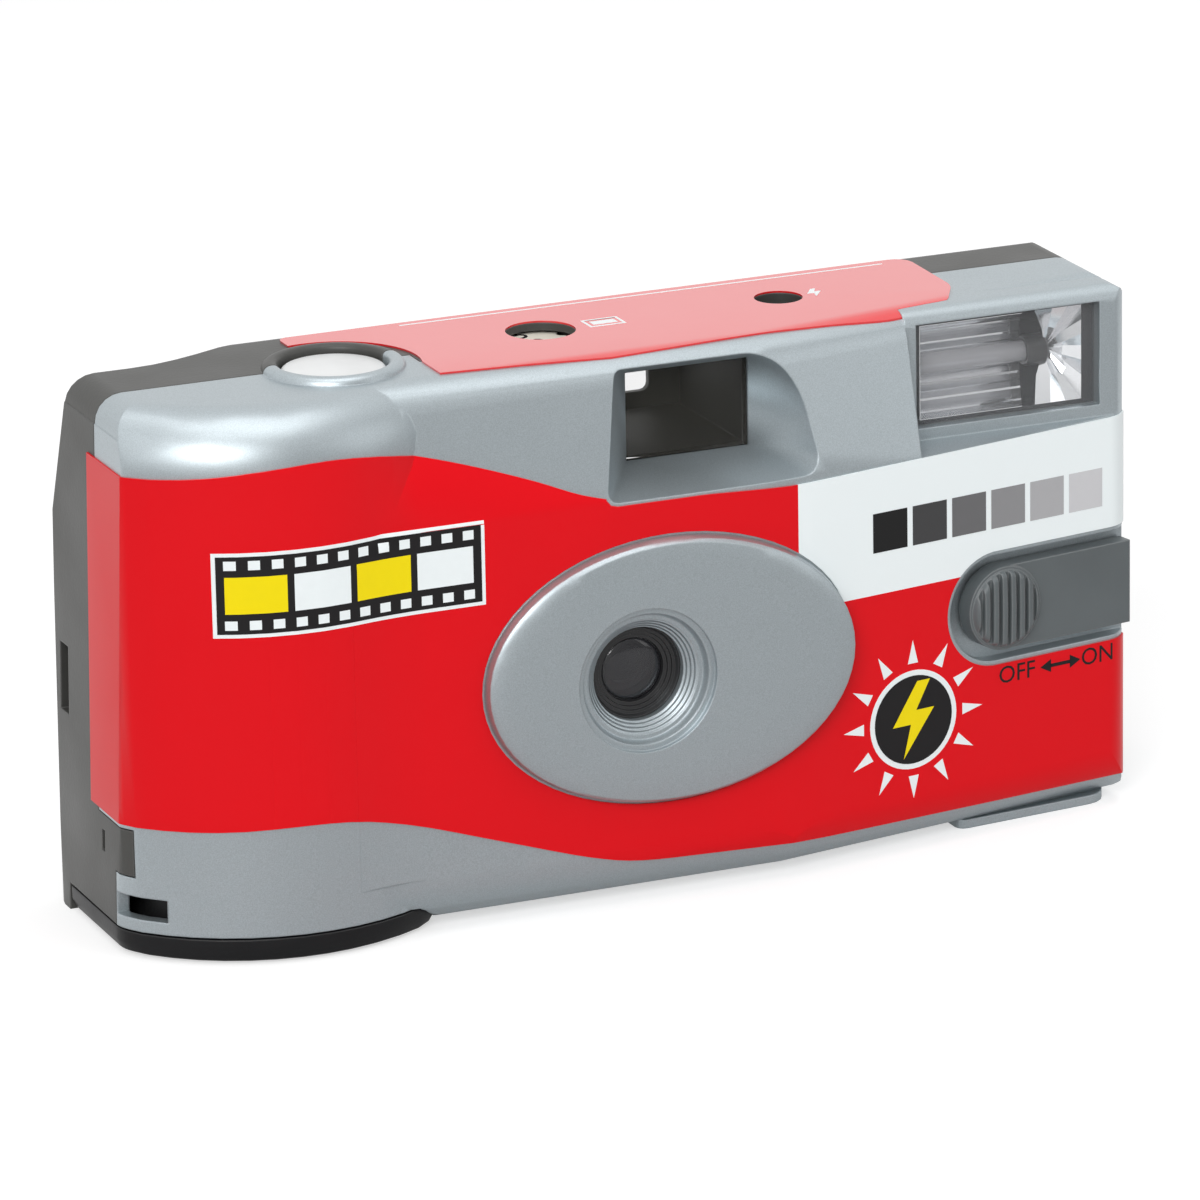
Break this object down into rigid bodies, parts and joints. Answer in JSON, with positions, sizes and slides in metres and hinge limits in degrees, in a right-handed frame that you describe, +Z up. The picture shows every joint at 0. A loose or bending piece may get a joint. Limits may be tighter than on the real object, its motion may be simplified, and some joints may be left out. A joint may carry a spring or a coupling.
{
  "type": "disposable film camera",
  "caption": "Disposable 35 mm film camera with built-in flash, fixed-focus lens in an oval boss, sliding flash switch, thumbwheel advance and a hinged film door.",
  "frame": {"origin": "bottom centre of the camera's box, on the table", "axes": "+Z up, -Y out of the lens, +X to the flash end"},
  "size_m": [0.118, 0.0324, 0.0604],
  "materials": {
    "silver_plastic": "satin metallic paint",
    "dark_plastic": "fine moulded grain",
    "black_plastic": "satin",
    "red_film": "glossy printed film",
    "white_plastic": "satin",
    "cream_plastic": "natural",
    "grey_plastic": "satin",
    "clear_plastic": "polished",
    "film_base": "emulsion",
    "cassette_steel": "lacquered",
    "spring_steel": "bright",
    "bright_foil": "polished",
    "board": "resin paper",
    "can_sleeve": "shrink sleeve",
    "winding": "taped winding",
    "lamp_glass": "clear",
    "cell_can": "sleeved cell",
    "contact_brass": "plated"
  },
  "bodies": {
    "camera": {"front_cover": "silver_plastic", "rear_cover": "dark_plastic", "wrap_label": "red_film", "top_label": "red_film", "main_frame": "black_plastic", "film_strip": "film_base", "cassette_shell": "cassette_steel", "cassette_caps": "cassette_steel", "ratchet_pawl": "cream_plastic", "shutter_spring": "spring_steel", "lens_board": "black_plastic", "lens_holder": "black_plastic", "taking_lens": "clear_plastic", "viewfinder_lens": "clear_plastic", "eyepiece": "clear_plastic", "flash_window": "clear_plastic", "flash_reflector": "bright_foil", "flash_tube": "clear_plastic", "flash_board": "board", "capacitor": "can_sleeve", "transformer": "winding", "ready_lamp": "lamp_glass", "battery": "cell_can", "battery_contacts": "contact_brass", "switch_contact": "contact_brass"},
    "film_door": {"film_door": "black_plastic"},
    "advance": {"thumbwheel": "black_plastic", "cassette_spool": "black_plastic"},
    "sprocket": {"sprocket": "cream_plastic"},
    "counter_dial": {"counter_dial": "cream_plastic"},
    "supply_spool": {"supply_spool": "black_plastic"},
    "release_lever": {"release_lever": "cream_plastic"},
    "cocking_lever": {"cocking_lever": "cream_plastic"},
    "shutter_blade": {"shutter_blade": "black_plastic"},
    "shutter_button": {"shutter_button": "white_plastic"},
    "flash_switch": {"flash_switch": "grey_plastic"}
  },
  "joints": [
    {"name": "film_door_hinge", "type": "hinge", "parent": "camera", "child": "film_door", "pos_m": [-0.0422, 0.0132, 0.00115], "axis": [1, 0, 0], "range_deg": [0, 95]},
    {"name": "advance_turn", "type": "hinge", "parent": "camera", "child": "advance", "pos_m": [-0.0422, 0.0007, 0.05], "axis": [0, 0, 1], "continuous": true},
    {"name": "sprocket_turn", "type": "hinge", "parent": "camera", "child": "sprocket", "pos_m": [-0.0244, 0.00835, 0.045], "axis": [0, 0, 1], "continuous": true},
    {"name": "dial_turn", "type": "hinge", "parent": "camera", "child": "counter_dial", "pos_m": [-0.0123, 0.00405, 0.0579], "axis": [0, 0, 1], "continuous": true},
    {"name": "supply_turn", "type": "hinge", "parent": "camera", "child": "supply_spool", "pos_m": [0.042, 0.0049, 0.0258], "axis": [0, 0, 1], "continuous": true},
    {"name": "release_swing", "type": "hinge", "parent": "camera", "child": "release_lever", "pos_m": [-0.019, 0.0086, 0.0514], "axis": [0, 0, 1], "range_deg": [-6, 0], "stiffness_Nm_per_rad": 0.01},
    {"name": "cocking_swing", "type": "hinge", "parent": "camera", "child": "cocking_lever", "pos_m": [-0.0075, 0.0082, 0.0514], "axis": [0, 0, 1], "range_deg": [0, 6], "stiffness_Nm_per_rad": 0.01},
    {"name": "blade_swing", "type": "hinge", "parent": "camera", "child": "shutter_blade", "pos_m": [-0.0108, -0.00755, 0.0342], "axis": [0, 1, 0], "range_deg": [0, 45], "stiffness_Nm_per_rad": 0.003},
    {"name": "button_press", "type": "slide", "parent": "camera", "child": "shutter_button", "axis": [0, 0, -1], "range_m": [0, 0.0012], "stiffness_N_per_m": 1200},
    {"name": "flash_slide", "type": "slide", "parent": "camera", "child": "flash_switch", "axis": [0.9857, 0.1685, 0], "range_m": [0, 0.009]}
  ],
  "couplings": [
    {"joint": "sprocket_turn", "follows": "advance_turn", "ratio": 1.6},
    {"joint": "supply_turn", "follows": "advance_turn", "ratio": 0.9},
    {"joint": "dial_turn", "follows": "advance_turn", "ratio": -0.05}
  ]
}
